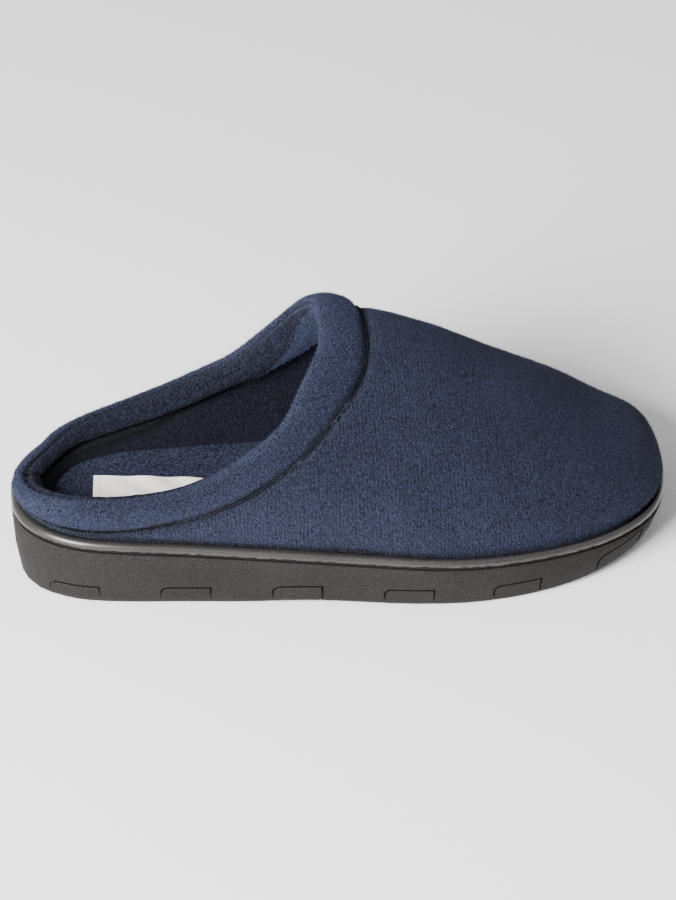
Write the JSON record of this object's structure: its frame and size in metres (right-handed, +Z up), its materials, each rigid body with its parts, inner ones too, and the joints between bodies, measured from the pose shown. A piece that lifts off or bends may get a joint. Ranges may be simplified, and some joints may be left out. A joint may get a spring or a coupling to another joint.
{
  "type": "scuff slipper",
  "caption": "Backless scuff slipper for the right foot with a padded plush upper, rolled collar, footbed cushion and moulded rubber wedge sole.",
  "frame": {"origin": "on the floor, under the middle of the whole shoe", "axes": "+X from heel to toe, +Y towards the inner side of the foot, +Z up"},
  "size_m": [0.2892, 0.1198, 0.1108],
  "materials": {
    "sole_rubber": "matte, finely blasted dark grey rubber",
    "welt_rubber": "smooth half-gloss dark grey rubber",
    "vamp_plush": "short-nap navy plush",
    "binding_plush": "short-nap navy plush over soft padding",
    "footbed_plush": "short-nap navy plush, pressed",
    "label_weave": "cream satin weave"
  },
  "bodies": {
    "root": {"outsole": "sole_rubber", "welt": "welt_rubber", "upper": "vamp_plush", "collar_binding": "binding_plush", "insole": "footbed_plush", "label": "label_weave"}
  },
  "joints": []
}
